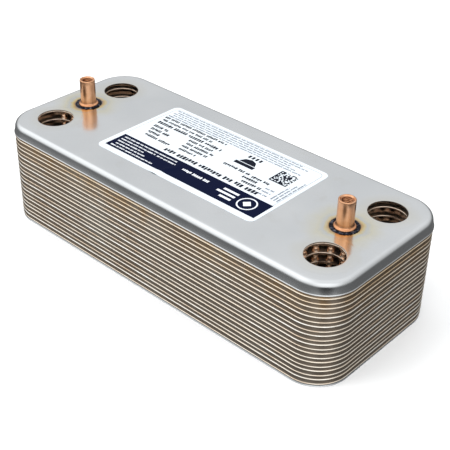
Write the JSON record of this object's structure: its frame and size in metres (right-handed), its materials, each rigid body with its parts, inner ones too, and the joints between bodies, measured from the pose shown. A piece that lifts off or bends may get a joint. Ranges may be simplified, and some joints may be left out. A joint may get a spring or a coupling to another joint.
{
  "type": "plate heat exchanger",
  "caption": "Compact brazed plate heat exchanger: nested pressed plates between two covers, with ports and threaded weld studs on the front.",
  "frame": {"origin": "bottom centre of the body, on the plane of the back cover's rim", "axes": "+X along the length, +Y across the width, +Z out of the front cover along the ports and studs"},
  "size_m": [0.1886, 0.077, 0.0606],
  "materials": {
    "cover_steel": "satin, cold rolled",
    "plate_steel": "satin, tinted by the brazing furnace",
    "braze_copper": "solidified copper braze",
    "stud_copper": "copper plated steel",
    "weld_metal": "rough, dark and heat tinted",
    "label_film": "semi-gloss printed film"
  },
  "bodies": {
    "root": {"front_cover": "cover_steel", "back_cover": "cover_steel", "channel_plate_01": "plate_steel", "channel_plate_02": "plate_steel", "channel_plate_03": "plate_steel", "channel_plate_04": "plate_steel", "channel_plate_05": "plate_steel", "channel_plate_06": "plate_steel", "channel_plate_07": "plate_steel", "channel_plate_08": "plate_steel", "channel_plate_09": "plate_steel", "channel_plate_10": "plate_steel", "channel_plate_11": "plate_steel", "channel_plate_12": "plate_steel", "channel_plate_13": "plate_steel", "channel_plate_14": "plate_steel", "channel_plate_15": "plate_steel", "channel_plate_16": "plate_steel", "channel_plate_17": "plate_steel", "channel_plate_18": "plate_steel", "channel_plate_19": "plate_steel", "channel_plate_20": "plate_steel", "braze_copper_01": "braze_copper", "braze_copper_02": "braze_copper", "braze_copper_03": "braze_copper", "braze_copper_04": "braze_copper", "braze_copper_05": "braze_copper", "braze_copper_06": "braze_copper", "braze_copper_07": "braze_copper", "braze_copper_08": "braze_copper", "braze_copper_09": "braze_copper", "braze_copper_10": "braze_copper", "braze_copper_11": "braze_copper", "braze_copper_12": "braze_copper", "braze_copper_13": "braze_copper", "braze_copper_14": "braze_copper", "braze_copper_15": "braze_copper", "braze_copper_16": "braze_copper", "braze_copper_17": "braze_copper", "braze_copper_18": "braze_copper", "braze_copper_19": "braze_copper", "braze_copper_20": "braze_copper", "braze_copper_21": "braze_copper", "threaded_stud_left": "stud_copper", "threaded_stud_right": "stud_copper", "weld_bead_left": "weld_metal", "weld_bead_right": "weld_metal", "rating_label": "label_film"}
  },
  "joints": []
}
